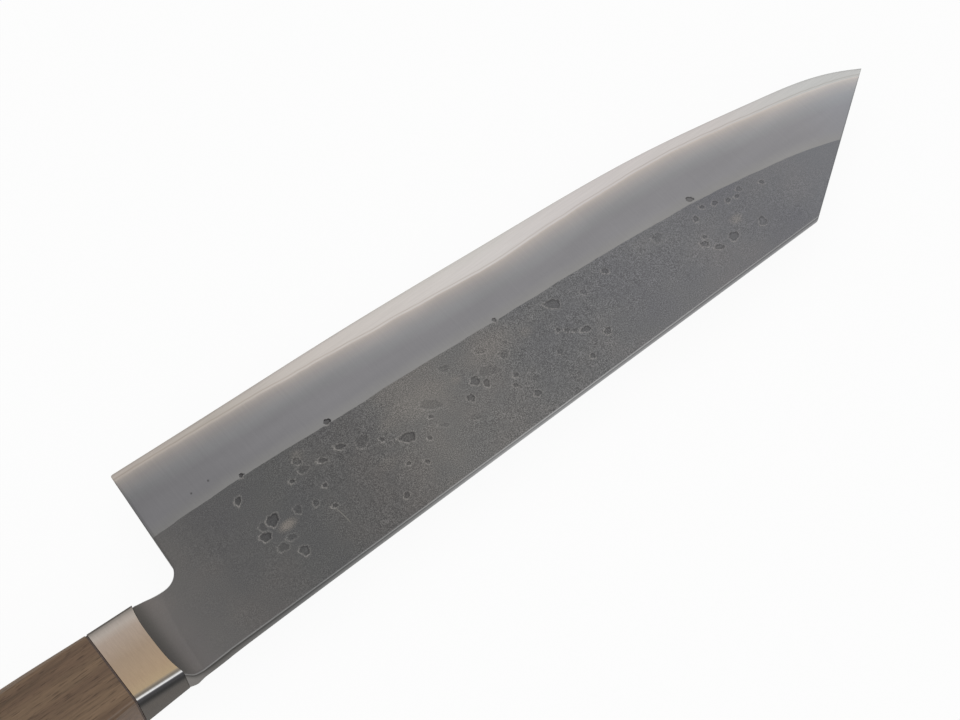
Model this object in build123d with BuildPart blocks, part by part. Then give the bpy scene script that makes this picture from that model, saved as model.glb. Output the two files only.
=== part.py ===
from build123d import *
import os

# A kiritsuke kitchen knife, lying on its right side. +X runs to the tip, +Y to the cutting edge and
# +Z out of the left face. Lengths are in millimetres. Shapes are drawn from a datum on the handle's
# centre line, where it meets the front corners of the ferrule.

# Blade outline
blade_reach = 219.0        # ferrule front to tip
heel_reach = 14.1          # ferrule front to heel corner
heel_height = 50.7         # spine to heel corner
heel_lean = 2.0            # how far the heel corner stands ahead of the choil
choil_radius = 4.5
spine_rise = 10.4          # centre line to spine
tip_height = 24.8          # spine to tip
tip_face_run = 38.2        # tip to the break in the spine, along the blade
break_radius = 2.5         # eased corner where the spine turns to the tip

# Blade section, in half thicknesses
spine_half = 1.73          # spine, at the ferrule
break_half = 1.08          # spine, at the break
side_fall = 0.48           # fall of a flat side from the spine to the level of the heel corner
edge_half = 0.06           # cutting edge
bevel_width = 19.0         # wide bevel, from its border on the flat side to the edge
core_spine_half = 0.50     # hard core, at the spine by the ferrule
core_heel_half = 0.11      # hard core, at the heel corner
core_tip_half = 0.10       # hard core, at the tip
bare_core_width = 5.5      # widest band of the hard core that is left bare along the edge

# Neck and tang
neck_flare = 8.5           # length of the hollow ramp from the blade up to the ferrule
neck_dip = 5.0             # length over which the spine drops to the ferrule
tang_length = 74.0
tang_half_height = 3.6
tang_end_half_height = 2.6
tang_half = 1.6            # half thickness
tang_root = 2.0            # how far the tang's flats run into the neck

# Ferrule
ferrule_length = 11.3
ferrule_half_height = 9.3
ferrule_back_half_height = 9.4
ferrule_half = 4.66        # half thickness at the front
ferrule_back_half = 7.05   # half thickness at the back
ferrule_hollow = 0.8       # depth of the hollow in its front face
ferrule_arris_radius = 1.0
slot_clearance = 0.1
seat_depth = 4.0           # depth of the dowel's seat

# Liner and handle
liner_thickness = 0.4
handle_length = 118.0
butt_half_height = 12.5
butt_half = 9.75           # half thickness
butt_chamfer = 5.4         # long chamfers of the octagon, at the butt
butt_arris_radius = 1.0
bore_end_gap = 2.0         # empty end of the bore, behind the dowel

# Dowel and bedding
dowel_radius = 5.0
dowel_clearance = 0.05
dowel_end_wall = 4.0       # solid end of the dowel, behind the tang
bedding_gap = 0.35         # resin between the tang and the dowel's slot

overrun = 1.0              # how far cuts run past what they cut

# Rows from heel to tip: place along the edge, height left above the tip, width of the bevel,
# width of the bare core
edge_shares = (
    (0.000, 1.000, 1.00, 0.30),
    (0.140, 0.943, 0.98, 0.36),
    (0.300, 0.881, 1.02, 0.65),
    (0.520, 0.751, 1.00, 0.97),
    (0.715, 0.600, 0.99, 0.68),
    (0.877, 0.358, 1.01, 0.62),
    (0.977, 0.107, 1.03, 0.45),
    (1.000, 0.000, 1.04, 0.25),
)

# Rows from ferrule to butt: place along the handle, swell in height, swell in thickness, size of
# the long chamfers
handle_shares = (
    (0.00, 0.00, 0.00, 0.11),
    (0.17, 0.50, 0.24, 0.28),
    (0.42, 0.90, 0.72, 0.78),
    (0.72, 1.00, 1.00, 1.00),
    (1.00, 1.00, 1.00, 1.00),
)

# Places worked out from the sizes, seen from the datum
spine_y = -spine_rise
heel_y = heel_height - spine_rise
tip_y = tip_height - spine_rise
break_x = blade_reach - tip_face_run
choil_x = heel_reach - heel_lean
liner_front_x = -ferrule_length
wood_front_x = liner_front_x - liner_thickness
butt_x = wood_front_x - handle_length
seat_x = liner_front_x + seat_depth
slot_end_x = -tang_length - bedding_gap
dowel_end_x = slot_end_x - dowel_end_wall
bore_end_x = dowel_end_x - bore_end_gap

# The origin is at the bottom centre of the whole knife's box
datum = Vector(
    -(blade_reach + butt_x) / 2,
    -(heel_y - max(butt_half_height, spine_rise)) / 2,
    max(butt_half, ferrule_back_half),
)
plan = Plane(origin=datum, x_dir=(1, 0, 0), z_dir=(0, 0, 1))
elevation = Plane(origin=datum, x_dir=(1, 0, 0), z_dir=(0, -1, 0))


# Plane square to the centre line, its own X along the height and its own Y along +Z
def section_at(x):
    return Plane(origin=datum + Vector(x, 0, 0), x_dir=(0, 1, 0), z_dir=(1, 0, 0))


# Plane through three places of the left side, or their mirror images on the right side, facing out
def side_plane(places, side):
    first, second, third = [datum + Vector(x, y, side * half) for x, y, half in places]
    normal = (second - first).cross(third - first) * side
    return Plane(origin=first, x_dir=second - first, z_dir=normal)


# Half thickness of the blade between its flat sides
def flat_half(x, y):
    taper = (spine_half - break_half) * x / break_x
    fall = side_fall * (y - spine_y) / heel_height
    return spine_half - taper - fall


# Points of a line that keeps inside the edge, carried past the heel and the tip for a cut
def line_inside_edge(width, column):
    points = []
    for row in edge_shares:
        x = heel_reach + (blade_reach - heel_reach) * row[0]
        if row is edge_shares[0]:
            x = choil_x - overrun
        if row is edge_shares[-1]:
            x = blade_reach + overrun
        y = tip_y + (heel_y - tip_y) * row[1]
        points.append((x, y - width * row[column]))
    return points


flat_places = (
    (0, spine_y, spine_half),
    (break_x, spine_y, break_half),
    (0, heel_y, spine_half - side_fall),
)
core_places = (
    (0, spine_y, core_spine_half),
    (blade_reach, tip_y, core_tip_half),
    (heel_reach, heel_y, core_heel_half),
)

# Outline of the blade and neck: edge, tip face, spine, dip of the neck, shoulder, choil and heel
with BuildSketch(plan) as outline:
    with BuildLine():
        edge_points = []
        for along, height, _, _ in edge_shares:
            x = heel_reach + (blade_reach - heel_reach) * along
            edge_points.append((x, tip_y + (heel_y - tip_y) * height))
        Spline(edge_points)
        Polyline(edge_points[-1], (break_x, spine_y), (neck_dip, spine_y))
        Spline(
            (neck_dip, spine_y),
            (0, -ferrule_half_height),
            tangents=((-1, 0), (-1, 0)),
        )
        ThreePointArc(
            (0, -ferrule_half_height),
            (-ferrule_hollow, 0),
            (0, ferrule_half_height),
        )
        Polyline((0, ferrule_half_height), (choil_x, ferrule_half_height), edge_points[0])
    make_face()
    fillet(outline.vertices().sort_by_distance((break_x, spine_y))[0], break_radius)
    fillet(outline.vertices().sort_by_distance((choil_x, ferrule_half_height))[0], choil_radius)

# What is ground away beside the wide bevel, on the left side
with BuildPart() as bevel_waste:
    edge_line = line_inside_edge(0, 0)
    bevel_border = line_inside_edge(bevel_width, 2)
    for (x, edge_y), (_, border_y) in zip(edge_line, bevel_border):
        border_half = flat_half(x, border_y)
        slope = (border_half - edge_half) / (edge_y - border_y)
        inner_y = border_y - bevel_width / 4
        inner_half = border_half + slope * bevel_width / 4
        outer_y = edge_y + overrun
        outer_half = edge_half - slope * overrun
        top = spine_half + overrun
        with BuildSketch(section_at(x)):
            with BuildLine():
                Polyline(
                    (inner_y, inner_half),
                    (outer_y, outer_half),
                    (outer_y, top),
                    (inner_y, top),
                    close=True,
                )
            make_face()
    loft()

# Neck: the hollow ramp that swells from the blade's sides to the ferrule
with BuildPart() as neck:
    add(outline.sketch)
    extrude(amount=ferrule_back_half, both=True)
    with BuildSketch(elevation):
        with BuildLine():
            back_x = -ferrule_hollow - overrun
            back_rise = (ferrule_back_half - ferrule_half) / ferrule_length
            ramp_foot = (neck_flare, flat_half(neck_flare, ferrule_half_height))
            Line((neck_flare, 0), ramp_foot)
            TangentArc(ramp_foot, (0, ferrule_half), tangent=(-1, 0))
            Polyline(
                (0, ferrule_half),
                (back_x, ferrule_half - back_x * back_rise),
                (back_x, 0),
                (neck_flare, 0),
            )
        make_face()
        mirror(about=Plane.XZ)
    extrude(amount=heel_height, both=True, mode=Mode.INTERSECT)

# Tang: a flat bar that narrows to its end
with BuildPart() as tang:
    with BuildSketch(plan):
        with BuildLine():
            Polyline(
                (tang_root, tang_half_height),
                (0, tang_half_height),
                (-tang_length, tang_end_half_height),
                (-tang_length, -tang_end_half_height),
                (0, -tang_half_height),
                (tang_root, -tang_half_height),
                close=True,
            )
        make_face()
    extrude(amount=tang_half, both=True)

# The whole forging, before it is told apart into its three layers
with BuildPart() as forging:
    add(outline.sketch)
    extrude(amount=ferrule_half, both=True)
    for side in (1, -1):
        split(bisect_by=side_plane(flat_places, side), keep=Keep.BOTTOM)
    add(bevel_waste.part, mode=Mode.SUBTRACT)
    add(bevel_waste.part.mirror(plan), mode=Mode.SUBTRACT)
    add(neck.part)
    add(tang.part)

# Beyond this line the cladding is ground off and the hard core lies bare
with BuildPart() as bare_band:
    with BuildSketch(plan):
        with BuildLine():
            bare_line = line_inside_edge(bare_core_width, 3)
            Spline(bare_line)
            far_y = heel_y + overrun
            Polyline(
                bare_line[-1],
                (bare_line[-1][0], far_y),
                (bare_line[0][0], far_y),
                bare_line[0],
            )
        make_face()
    extrude(amount=ferrule_half, both=True)

with BuildPart() as cladding_left:
    add(forging.part)
    split(bisect_by=side_plane(core_places, 1), keep=Keep.TOP)
    add(bare_band.part, mode=Mode.SUBTRACT)

with BuildPart() as cladding_right:
    add(forging.part)
    split(bisect_by=side_plane(core_places, -1), keep=Keep.TOP)
    add(bare_band.part, mode=Mode.SUBTRACT)

with BuildPart() as core_steel:
    add(forging.part)
    add(cladding_left.part, mode=Mode.SUBTRACT)
    add(cladding_right.part, mode=Mode.SUBTRACT)

# Ferrule: a tapered metal collar with a hollow front face, slotted for the tang and bored at the
# back for the dowel
with BuildPart() as ferrule:
    with BuildSketch(plan):
        with BuildLine():
            ThreePointArc(
                (0, -ferrule_half_height),
                (-ferrule_hollow, 0),
                (0, ferrule_half_height),
            )
            Polyline(
                (0, ferrule_half_height),
                (liner_front_x, ferrule_back_half_height),
                (liner_front_x, -ferrule_back_half_height),
                (0, -ferrule_half_height),
            )
        make_face()
    extrude(amount=ferrule_back_half, both=True)
    with BuildSketch(elevation):
        with BuildLine():
            Polyline(
                (0, ferrule_half),
                (liner_front_x, ferrule_back_half),
                (liner_front_x, -ferrule_back_half),
                (0, -ferrule_half),
                close=True,
            )
        make_face()
    extrude(amount=ferrule_back_half_height, both=True, mode=Mode.INTERSECT)
    straight = ferrule.edges().filter_by(GeomType.LINE)
    arrises = straight.filter_by(lambda line: abs(line.tangent_at(0).X) > abs(line.tangent_at(0).Y) * 2)
    fillet(arrises, ferrule_arris_radius)
    with BuildSketch(section_at(liner_front_x)):
        Rectangle(
            (tang_half_height + slot_clearance) * 2,
            (tang_half + slot_clearance) * 2,
        )
    extrude(amount=ferrule_length, mode=Mode.SUBTRACT)
    with BuildSketch(section_at(liner_front_x)):
        Circle(dowel_radius + dowel_clearance)
    extrude(amount=seat_depth, mode=Mode.SUBTRACT)

# Liner: a thin fibre plate between the ferrule and the wood
with BuildPart() as fibre_liner:
    with BuildSketch(section_at(liner_front_x)):
        RectangleRounded(
            ferrule_back_half_height * 2,
            ferrule_back_half * 2,
            ferrule_arris_radius,
        )
        Circle(dowel_radius + dowel_clearance, mode=Mode.SUBTRACT)
    extrude(amount=-liner_thickness)

# Handle: an octagon that grows out of the ferrule's section and swells to the butt
with BuildPart() as handle_body:
    for along, tall, thick, chamfered in handle_shares:
        y = ferrule_back_half_height + (butt_half_height - ferrule_back_half_height) * tall
        z = ferrule_back_half + (butt_half - ferrule_back_half) * thick
        cut = butt_chamfer * chamfered
        with BuildSketch(section_at(wood_front_x - handle_length * along)):
            with BuildLine():
                Polyline(
                    (y, z - cut),
                    (y - cut, z),
                    (cut - y, z),
                    (-y, z - cut),
                    (-y, cut - z),
                    (cut - y, -z),
                    (y - cut, -z),
                    (y, cut - z),
                    close=True,
                )
            make_face()
    loft()
    fillet(handle_body.faces().sort_by(Axis.X)[0].edges(), butt_arris_radius)
    with BuildSketch(section_at(wood_front_x)):
        Circle(dowel_radius + dowel_clearance)
    extrude(amount=bore_end_x - wood_front_x, mode=Mode.SUBTRACT)

# Dowel: a hardwood pin through the joint, slotted for the tang
with BuildPart() as tang_dowel:
    with BuildSketch(section_at(seat_x)):
        Circle(dowel_radius)
    extrude(amount=dowel_end_x - seat_x)
    with BuildSketch(section_at(seat_x)) as slot:
        Rectangle(
            (tang_half_height + bedding_gap) * 2,
            (tang_half + bedding_gap) * 2,
        )
    extrude(amount=slot_end_x - seat_x, mode=Mode.SUBTRACT)

# Bedding: the resin that fills the dowel's slot round the tang
with BuildPart() as resin_bedding:
    extrude(slot.sketch, amount=seat_x - slot_end_x, dir=(-1, 0, 0))
    add(tang.part, mode=Mode.SUBTRACT)

core_steel.part.label = "core_steel"
cladding_left.part.label = "cladding_left"
cladding_right.part.label = "cladding_right"
ferrule.part.label = "ferrule"
fibre_liner.part.label = "fibre_liner"
handle_body.part.label = "handle_body"
tang_dowel.part.label = "tang_dowel"
resin_bedding.part.label = "resin_bedding"

pieces = (
    core_steel,
    cladding_left,
    cladding_right,
    ferrule,
    fibre_liner,
    handle_body,
    tang_dowel,
    resin_bedding,
)
os.makedirs("parts", exist_ok=True)
for piece in pieces:
    export_step(piece.part, "parts/" + piece.part.label + ".step")
    solids = len(piece.part.solids())
    print(piece.part.label, solids, "solid", round(piece.part.volume), "mm3")
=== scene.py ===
import math
import random
from functools import partial

import bmesh
import bpy
import numpy as np
from mathutils import Matrix, Vector, noise


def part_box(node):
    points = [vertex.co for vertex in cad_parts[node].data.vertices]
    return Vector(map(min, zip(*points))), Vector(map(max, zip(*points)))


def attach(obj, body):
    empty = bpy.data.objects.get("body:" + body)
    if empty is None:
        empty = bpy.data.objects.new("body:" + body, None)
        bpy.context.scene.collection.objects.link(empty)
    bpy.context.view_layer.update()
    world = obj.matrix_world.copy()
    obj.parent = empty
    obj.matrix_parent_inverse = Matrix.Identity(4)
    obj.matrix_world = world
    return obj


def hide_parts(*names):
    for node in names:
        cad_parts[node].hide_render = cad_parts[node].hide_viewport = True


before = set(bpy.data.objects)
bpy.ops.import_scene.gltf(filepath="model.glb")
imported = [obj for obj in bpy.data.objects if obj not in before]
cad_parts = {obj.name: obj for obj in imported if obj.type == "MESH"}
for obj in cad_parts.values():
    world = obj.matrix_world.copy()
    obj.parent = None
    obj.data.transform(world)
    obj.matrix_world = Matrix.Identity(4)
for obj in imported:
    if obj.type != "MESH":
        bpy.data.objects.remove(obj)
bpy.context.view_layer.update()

# A kiritsuke knife on its right side: forged three-layer blade, nickel silver ferrule, walnut handle.
# Shapes are drawn in millimetres from the middle of the ferrule's front, and placed by finishPiece.
mm = 0.001
ferruleLow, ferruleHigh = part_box("ferrule")
middle = (ferruleLow + ferruleHigh) / 2
datum = Vector((ferruleHigh.x, middle.y, middle.z))


# sRGB hex to the linear values that Blender's sockets take
def fromHex(code):
    parts = [int(code[i:i + 2], 16) / 255 for i in (1, 3, 5)]
    return tuple(c / 12.92 if c <= 0.04045 else ((c + 0.055) / 1.055) ** 2.4 for c in parts) + (1.0,)


# The output that a kind of node is read by, where it isn't the first, and ways to mix colours
readOutputs = {"Mix": 2, "Attribute": "Fac", "TexCoord": "Object", "VectorMath": "Value"}
blended = {"data_type": "RGBA"}
multiplied = {"data_type": "RGBA", "blend_type": "MULTIPLY"}
overlaid = {"data_type": "RGBA", "blend_type": "OVERLAY"}


# Adds a node and gives the output that it is read by. inputs go by a socket's name or number, or as
# a list from the first socket on: each is a value, a hex colour, the output that feeds it or the
# name of a measure kept on the piece's points. ramp maps places to hex colours or linear greys.
def addNode(tree, kind, inputs=(), ramp=None, **settings):
    node = tree.nodes.new("ShaderNode" + kind)
    for name, value in settings.items():
        setattr(node, name, value)
    for key, value in inputs.items() if isinstance(inputs, dict) else enumerate(inputs):
        if isinstance(value, str) and value[0] == "#":
            value = fromHex(value)
        elif isinstance(value, str):
            value = addNode(tree, "Attribute", attribute_name=value)
        if isinstance(value, bpy.types.NodeSocket):
            tree.links.new(value, node.inputs[key])
        else:
            node.inputs[key].default_value = value
    if ramp:
        stops = node.color_ramp.elements
        while len(stops) < len(ramp):
            stops.new(1.0)
        for stop, (place, colour) in zip(stops, ramp.items()):
            stop.position = place
            stop.color = fromHex(colour) if isinstance(colour, str) else (colour, colour, colour, 1.0)
    return node.outputs[readOutputs.get(kind, 0)] if node.outputs else None


# A new material, addNode for its tree, and the place on the piece that its patterns follow
def newMaterial(name):
    material = bpy.data.materials.new(name)
    material.use_nodes = True
    material.node_tree.nodes.clear()
    add = partial(addNode, material.node_tree)
    return material, add, add("TexCoord")


# The end of a material. rough is one value, or two between which the pattern spreads it; lift is
# the strength and the depth in millimetres of the relief that the pattern, or height, gives.
def endMaterial(add, colour, pattern, rough, lift, traits=None, height=None):
    if isinstance(rough, tuple):
        rough = add("MapRange", [pattern, 0.0, 1.0, *rough])
    bump = add("Bump", {"Height": height or pattern, "Strength": lift[0], "Distance": lift[1] * mm})
    shader = {"Base Color": colour, "Roughness": rough, "Normal": bump, **(traits or {})}
    add("OutputMaterial", [add("BsdfPrincipled", shader)])


# Natural cubic through the points, read at x
def splineAt(points, x):
    px, py = np.array(points, float).T
    step = np.diff(px)
    rise = np.diff(py) / step
    system = np.eye(len(px))
    target = np.zeros(len(px))
    for i in range(1, len(px) - 1):
        system[i, i - 1:i + 2] = step[i - 1], 2 * (step[i - 1] + step[i]), step[i]
        target[i] = 6 * (rise[i] - rise[i - 1])
    bend = np.linalg.solve(system, target)
    i = np.clip(np.searchsorted(px, x) - 1, 0, len(px) - 2)
    after = (x - px[i]) / step[i]
    before = 1 - after
    curve = (before ** 3 - before) * bend[i] + (after ** 3 - after) * bend[i + 1]
    return before * py[i] + after * py[i + 1] + curve * step[i] ** 2 / 6


# 0 below low, 1 above high and a soft curve between
def smoothStep(low, high, x):
    t = np.clip((x - low) / (high - low), 0, 1)
    return t * t * (3 - 2 * t)


def between(low, high, share):
    return low + (high - low) * share


# Noise between about -1 and 1 at each place, with lumps of that size in millimetres
def lumps(x, y, size, seed):
    places = zip(np.ravel(x) / size, np.ravel(y) / size)
    values = [noise.noise(Vector((a, b, seed))) for a, b in places]
    return np.reshape(values, np.shape(x))


# A drawn place in the scene's metres
def toObject(x, y, z):
    return datum + Vector((x, y, z)) * mm


# Turns a drawn mesh into a piece that rides on the body and stands in for its nodes
def finishPiece(bm, name, nodes, materials, sharpAngle=35):
    bmesh.ops.recalc_face_normals(bm, faces=bm.faces)
    bmesh.ops.scale(bm, vec=(mm, mm, mm), verts=bm.verts)
    bmesh.ops.translate(bm, vec=datum, verts=bm.verts)
    mesh = bpy.data.meshes.new(name)
    bm.to_mesh(mesh)
    bm.free()
    for material in materials:
        mesh.materials.append(material)
    mesh.shade_smooth()
    mesh.set_sharp_from_angle(angle=math.radians(sharpAngle))
    piece = bpy.data.objects.new(name, mesh)
    bpy.context.scene.collection.objects.link(piece)
    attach(piece, "root")
    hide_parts(*nodes)
    print(name, len(mesh.polygons), "faces")
    return piece


blade = {
    "reach": 219.0,   # ferrule front to tip
    "heelReach": 14.1,
    "heelLean": 2.0,
    "heelRound": 0.6,
    "choilRadius": 4.5,
    "spine": -10.73,
    "breakReach": 180.8,   # where the spine turns to the tip
    "breakRadius": 2.5,
    "heelHeight": 50.7,
    "spineHalf": 1.73,
    "breakHalf": 1.08,
    "sideFall": 0.48,
    "edgeHalf": 0.03,
    "microBevel": 0.35,   # width of the last, steeper facet at the edge
    "microHalf": 0.075,
    "bulge": 0.05,   # how far the ground bevel bulges
    "bevelStart": 10.0,   # nothing is ground nearer to the ferrule
    "leastBare": 0.3,   # least width of the bare core
    "neckHalf": 5.2,
    "neckHeight": 9.6,
    "neckRise": 0.5,   # the neck is that much higher from neckTop to the ferrule
    "neckTop": 1.0,
    "neckFlare": 9.0,   # where the flare into the ferrule starts
    "neckFade": (10.0, 3.0),   # the blade's arrises turn to the neck's between these
    "shoulder": 9.5,
    "shoulderRun": (-1.3, 2.1),   # the spine comes down to the shoulder between these
    "shoulderRise": 0.25,   # and is that much higher just past it
    "riseFade": (14.0, 4.0),
    "swellFoot": 20.0,   # the spine's swell is gone at this height
    "swellSpan": 30.0,
    "ferruleHollow": 1.0,
    "ferruleSlope": 0.2115,
    "arris": 0.22,   # rounding of the spine's arrises
    "neckArris": 0.6,
    "arrisShare": 0.8,   # an arris takes at most this share of the half thickness
    "choilEase": 0.4,
    "tipEase": 0.15,
    "tangReach": 74.0,
    "tangHeight": 3.6,
    "tangEndHeight": 2.6,
    "tangHalf": 1.6,
}

# Places along the edge, along the border of the wide bevel, and widths of the bare core
edgeLine = [
    (14.1, 40.3), (42.8, 38.82), (75.6, 37.22), (120.6, 33.85),
    (160.6, 29.94), (193.8, 23.67), (214.3, 17.17), (219.0, 14.4),
]
bevelLine = [
    (8.0, 21.3), (27.0, 21.1), (45.2, 20.3), (63.4, 18.9), (80.3, 18.0), (106.9, 15.8),
    (130.1, 14.2), (150.8, 12.2), (166.4, 10.3), (179.7, 7.7), (192.7, 4.7), (205.0, 0.0),
]
bareCore = [
    (8.0, 1.9), (40.0, 2.4), (66.0, 3.8), (83.0, 4.8), (100.0, 5.4), (114.0, 5.9), (128.0, 5.2),
    (149.0, 4.2), (165.0, 3.5), (178.0, 3.4), (191.0, 3.6), (209.0, 3.5), (223.0, 1.8),
]
corePlane = [(0, -10.4, 0.50), (219.0, 14.4, 0.10), (14.1, 40.3, 0.11)]
# Height, length and seed of the waves in the bevel's border and in the weld line
bevelWaves = [(0.16, 6.0, 3.1), (0.07, 1.6, 8.7)]
weldWaves = [(0.20, 7.0, 14.2), (0.07, 2.1, 21.9)]
# The spine's half thickness is that much more: it thins quickly behind the neck, and little further on
spineSwell = [
    (0.0, 0.45), (10.0, 0.20), (30.0, -0.16), (60.0, -0.29), (100.0, -0.34), (140.0, -0.10), (178.0, 0.0),
]
# The neck's underside falls beside the ferrule: share of neckRise, and from where to where
neckDips = [(0.55, 3.4, 0.2), (0.75, 0.6, -0.4)]

choilFoot = blade["heelReach"] - blade["heelLean"]
choilSlope = blade["heelLean"] / (edgeLine[0][1] - blade["neckHeight"])
choilCentre = (
    choilFoot + blade["choilRadius"] * (choilSlope - math.hypot(1, choilSlope)),
    blade["neckHeight"] + blade["choilRadius"],
)


def edgeAt(x):
    return splineAt(edgeLine, x)


def wavesAt(waves, x):
    return sum(height * lumps(x, 0 * x, length, seed) for height, length, seed in waves)


def bevelAt(x):
    return splineAt(bevelLine, x) + wavesAt(bevelWaves, x)


# The weld line, where the cladding ends over the core
def laminationAt(x):
    return edgeAt(x) - np.maximum(splineAt(bareCore, x) + wavesAt(weldWaves, x), blade["leastBare"])


def spineAt(x):
    full = blade["spine"] - blade["shoulderRise"] * smoothStep(*blade["riseFade"], x)
    return between(-blade["shoulder"], full, smoothStep(*blade["shoulderRun"], x))


def neckFootAt(x):
    dip = sum(share * smoothStep(start, end, x) for share, start, end in neckDips)
    return blade["neckHeight"] + blade["neckRise"] * (smoothStep(choilCentre[0], blade["neckTop"], x) - dip)


# Height of the plane through three places
def planeAt(places, x, y):
    a, b, c = [Vector(place) for place in places]
    normal = (b - a).cross(c - a)
    return a.z - (normal.x * (x - a.x) + normal.y * (y - a.y)) / normal.z


# Half thickness of the face above the bevel, whose lower half stays straight
def flatHalf(x, y):
    taper = (blade["spineHalf"] - blade["breakHalf"]) * x / blade["breakReach"]
    swell = splineAt(spineSwell, np.clip(x, 0, spineSwell[-1][0]))
    swell = swell * np.clip((blade["swellFoot"] - y) / blade["swellSpan"], 0, 1)
    fall = blade["sideFall"] * (y - blade["spine"]) / blade["heelHeight"]
    return blade["spineHalf"] + swell - taper - fall


def neckHalfAt(x):
    foot = flatHalf(blade["neckFlare"], blade["neckHeight"])
    share = np.clip((blade["neckFlare"] - x) / (blade["neckFlare"] + blade["ferruleHollow"]), 0, 1)
    behind = np.maximum(-blade["ferruleHollow"] - x, 0)
    return between(foot, blade["neckHalf"], share ** 3) + behind * blade["ferruleSlope"]


# How much a rounded arris takes off at that distance from it
def easing(distance, radius):
    inside = np.clip(radius - distance, 0, radius)
    return radius - np.sqrt(radius ** 2 - inside ** 2)


# Rounding of an arris, which grows to the neck's toward the ferrule
def arrisAt(x, radius):
    return between(radius, blade["neckArris"], smoothStep(*blade["neckFade"], x))


# Half thickness of the finished steel, before pits
def steelHalf(x, y):
    edge, border = edgeAt(x), bevelAt(x)
    gap = edge - y
    share = np.clip(gap / (edge - border), 0, 1)
    ground = between(blade["microHalf"], flatHalf(x, border), share)
    ground = ground + blade["bulge"] * 4 * share * (1 - share)
    micro = between(blade["edgeHalf"], ground, np.clip(gap / blade["microBevel"], 0, 1))
    half = np.where(y > border, np.where(gap < blade["microBevel"], micro, ground), flatHalf(x, y))
    half = np.where(x < blade["neckFlare"], np.maximum(half, neckHalfAt(x)), half)
    tipDirection = np.array([blade["reach"] - blade["breakReach"], edgeLine[-1][1] - blade["spine"]])
    tipDirection = tipDirection / np.hypot(*tipDirection)
    toTip = (y - blade["spine"]) * tipDirection[0] - (x - blade["breakReach"]) * tipDirection[1]
    toHeel = x - choilFoot - (y - blade["neckHeight"]) * choilSlope
    aroundChoil = np.hypot(x - choilCentre[0], y - choilCentre[1]) - blade["choilRadius"]
    underNeck = neckFootAt(x) - y
    belowHeel = np.where(x < choilCentre[0], underNeck, aroundChoil)
    for distance, radius in (
        (y - spineAt(x), arrisAt(x, blade["arris"])),
        (toTip, blade["tipEase"]),
        (np.where(y > choilCentre[1], toHeel, belowHeel), arrisAt(x, blade["choilEase"])),
    ):
        half = half - easing(np.maximum(distance, 0), np.minimum(radius, blade["arrisShare"] * half))
    return half


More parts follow.
